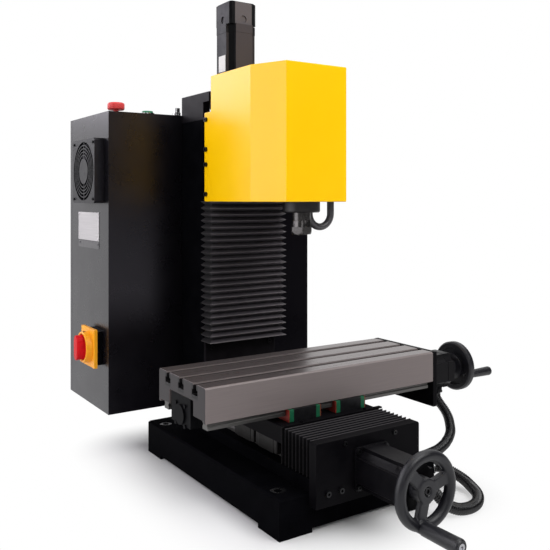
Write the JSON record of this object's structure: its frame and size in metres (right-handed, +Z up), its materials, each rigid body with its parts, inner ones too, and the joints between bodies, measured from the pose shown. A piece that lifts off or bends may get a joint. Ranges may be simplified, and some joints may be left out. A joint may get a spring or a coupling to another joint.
{
  "type": "benchtop cnc mill",
  "caption": "Benchtop milling machine with T-slot table, hand wheels, folded head cover and a control cabinet behind its column.",
  "frame": {"origin": "on the floor, at the centre of the hold-down hole pattern of the base", "axes": "+X along the table to the right, +Y from the operator to the cabinet, +Z up"},
  "size_m": [0.6949, 0.8691, 0.837],
  "materials": {
    "black_casting": "gloss black paint on cast iron",
    "black_plate": "satin black paint",
    "motor_black": "black motor enamel",
    "rail_steel": "ground steel",
    "housing_black": "blackened steel",
    "bellows": "satin moulded rubber",
    "cabinet_black": "semi-gloss black powder coat",
    "zinc_plate": "bright zinc",
    "drive_case": "moulded case",
    "fan_plastic": "black plastic",
    "switch_yellow": "yellow plastic",
    "signal_red": "red plastic",
    "start_green": "green plastic",
    "bright_metal": "plated brass",
    "conduit": "corrugated black plastic",
    "screws": "black oxide steel",
    "saddle_iron": "machined grey iron",
    "table_iron": "ground warm grey iron",
    "guide_steel": "dark bearing steel",
    "guide_green": "green plastic",
    "guide_red": "red rubber",
    "screw_steel": "ground steel",
    "wheel_black": "black moulded wheel",
    "head_yellow": "gloss yellow paint",
    "head_frame": "black painted steel",
    "spindle_dark": "blackened steel",
    "pipe_grey": "grey pipe",
    "spindle_steel": "turned steel"
  },
  "bodies": {
    "base": {"base_casting": "black_casting", "y_rails": "rail_steel", "y_motor_plate": "black_plate", "y_motor": "motor_black", "screw_bearings": "housing_black", "column": "black_casting", "column_apron": "black_plate", "z_rails": "rail_steel", "z_motor_mount": "black_plate", "z_motor": "motor_black", "z_brake": "motor_black", "z_bellows": "bellows", "y_bellows": "bellows", "cabinet_shell": "cabinet_black", "mounting_panel": "zinc_plate", "power_supply": "zinc_plate", "drive_units": "drive_case", "fan_frame": "fan_plastic", "fan_guard": "fan_plastic", "main_switch_plate": "switch_yellow", "top_fittings": "bright_metal", "conduit_glands": "bright_metal", "floor_conduit": "conduit", "lower_conduit": "conduit", "base_screws": "screws"},
    "saddle": {"saddle": "saddle_iron", "guide_blocks": "guide_steel", "guide_caps": "guide_green", "guide_seals": "guide_red", "screw_nuts": "housing_black"},
    "table": {"table": "table_iron", "x_rails": "rail_steel", "x_end_plate": "black_plate", "x_motor": "motor_black", "x_bearings": "housing_black", "table_screws": "screws", "upper_conduit": "conduit"},
    "x_screw": {"x_drive_line": "screw_steel", "x_handwheel": "wheel_black"},
    "x_grip": {"x_grip": "wheel_black"},
    "y_screw": {"y_drive_line": "screw_steel", "y_handwheel": "wheel_black"},
    "y_grip": {"y_grip": "wheel_black"},
    "z_screw": {"z_drive_line": "screw_steel"},
    "head": {"head_cover": "head_yellow", "z_carriage": "head_frame", "spindle_mount": "head_frame", "spindle_cartridge": "spindle_dark", "z_blocks": "guide_steel", "z_nut": "housing_black", "head_screws": "screws", "bent_pipe": "pipe_grey"},
    "spindle": {"spindle_shaft": "spindle_steel", "collet": "spindle_steel", "collet_nut": "spindle_steel"},
    "fan": {"fan_rotor": "fan_plastic"},
    "main_switch": {"main_switch_knob": "signal_red"},
    "estop": {"estop_button": "signal_red"},
    "start": {"start_button": "start_green"},
    "door": {"cabinet_door": "cabinet_black"}
  },
  "joints": [
    {"name": "y_slide", "type": "slide", "parent": "base", "child": "saddle", "axis": [0, 1, 0], "range_m": [-0.035, 0.095], "deforming": ["y_bellows", "lower_conduit"]},
    {"name": "x_slide", "type": "slide", "parent": "saddle", "child": "table", "axis": [1, 0, 0], "range_m": [-0.135, 0.11], "deforming": ["upper_conduit"]},
    {"name": "x_screw_turn", "type": "hinge", "parent": "table", "child": "x_screw", "pos_m": [0.3, -0.057, 0.147], "axis": [1, 0, 0], "continuous": true},
    {"name": "x_grip_turn", "type": "hinge", "parent": "x_screw", "child": "x_grip", "pos_m": [0.4, -0.08899, 0.13536], "axis": [1, 0, 0], "continuous": true},
    {"name": "y_screw_turn", "type": "hinge", "parent": "base", "child": "y_screw", "pos_m": [0, -0.3, 0.0815], "axis": [0, 1, 0], "continuous": true},
    {"name": "y_grip_turn", "type": "hinge", "parent": "y_screw", "child": "y_grip", "pos_m": [-0.01113, -0.39, 0.03687], "axis": [0, 1, 0], "continuous": true},
    {"name": "z_slide", "type": "slide", "parent": "base", "child": "head", "axis": [0, 0, 1], "range_m": [-0.18, 0], "deforming": ["z_bellows"]},
    {"name": "z_screw_turn", "type": "hinge", "parent": "base", "child": "z_screw", "pos_m": [0, 0.15, 0.4], "axis": [0, 0, 1], "continuous": true},
    {"name": "spindle_turn", "type": "hinge", "parent": "head", "child": "spindle", "pos_m": [0, -0.064, 0.43], "axis": [0, 0, 1], "continuous": true},
    {"name": "fan_turn", "type": "hinge", "parent": "base", "child": "fan", "pos_m": [-0.235, 0.307, 0.522], "axis": [-1, 0, 0], "continuous": true},
    {"name": "main_switch_turn", "type": "hinge", "parent": "base", "child": "main_switch", "pos_m": [-0.245, 0.29, 0.193], "axis": [-1, 0, 0], "range_deg": [0, 90]},
    {"name": "estop_press", "type": "slide", "parent": "base", "child": "estop", "axis": [0, 0, -1], "range_m": [0, 0.004]},
    {"name": "start_press", "type": "slide", "parent": "base", "child": "start", "axis": [0, 0, -1], "range_m": [0, 0.003], "stiffness_N_per_m": 400, "springref_m": -0.003},
    {"name": "door_swing", "type": "hinge", "parent": "base", "child": "door", "pos_m": [0.229, 0.428, 0.35], "axis": [0, 0, -1], "range_deg": [0, 110]}
  ],
  "couplings": [
    {"joint": "x_screw_turn", "follows": "x_slide", "rad_per_m": 1256.6},
    {"joint": "y_screw_turn", "follows": "y_slide", "rad_per_m": 1256.6},
    {"joint": "z_screw_turn", "follows": "z_slide", "rad_per_m": 1256.6}
  ]
}
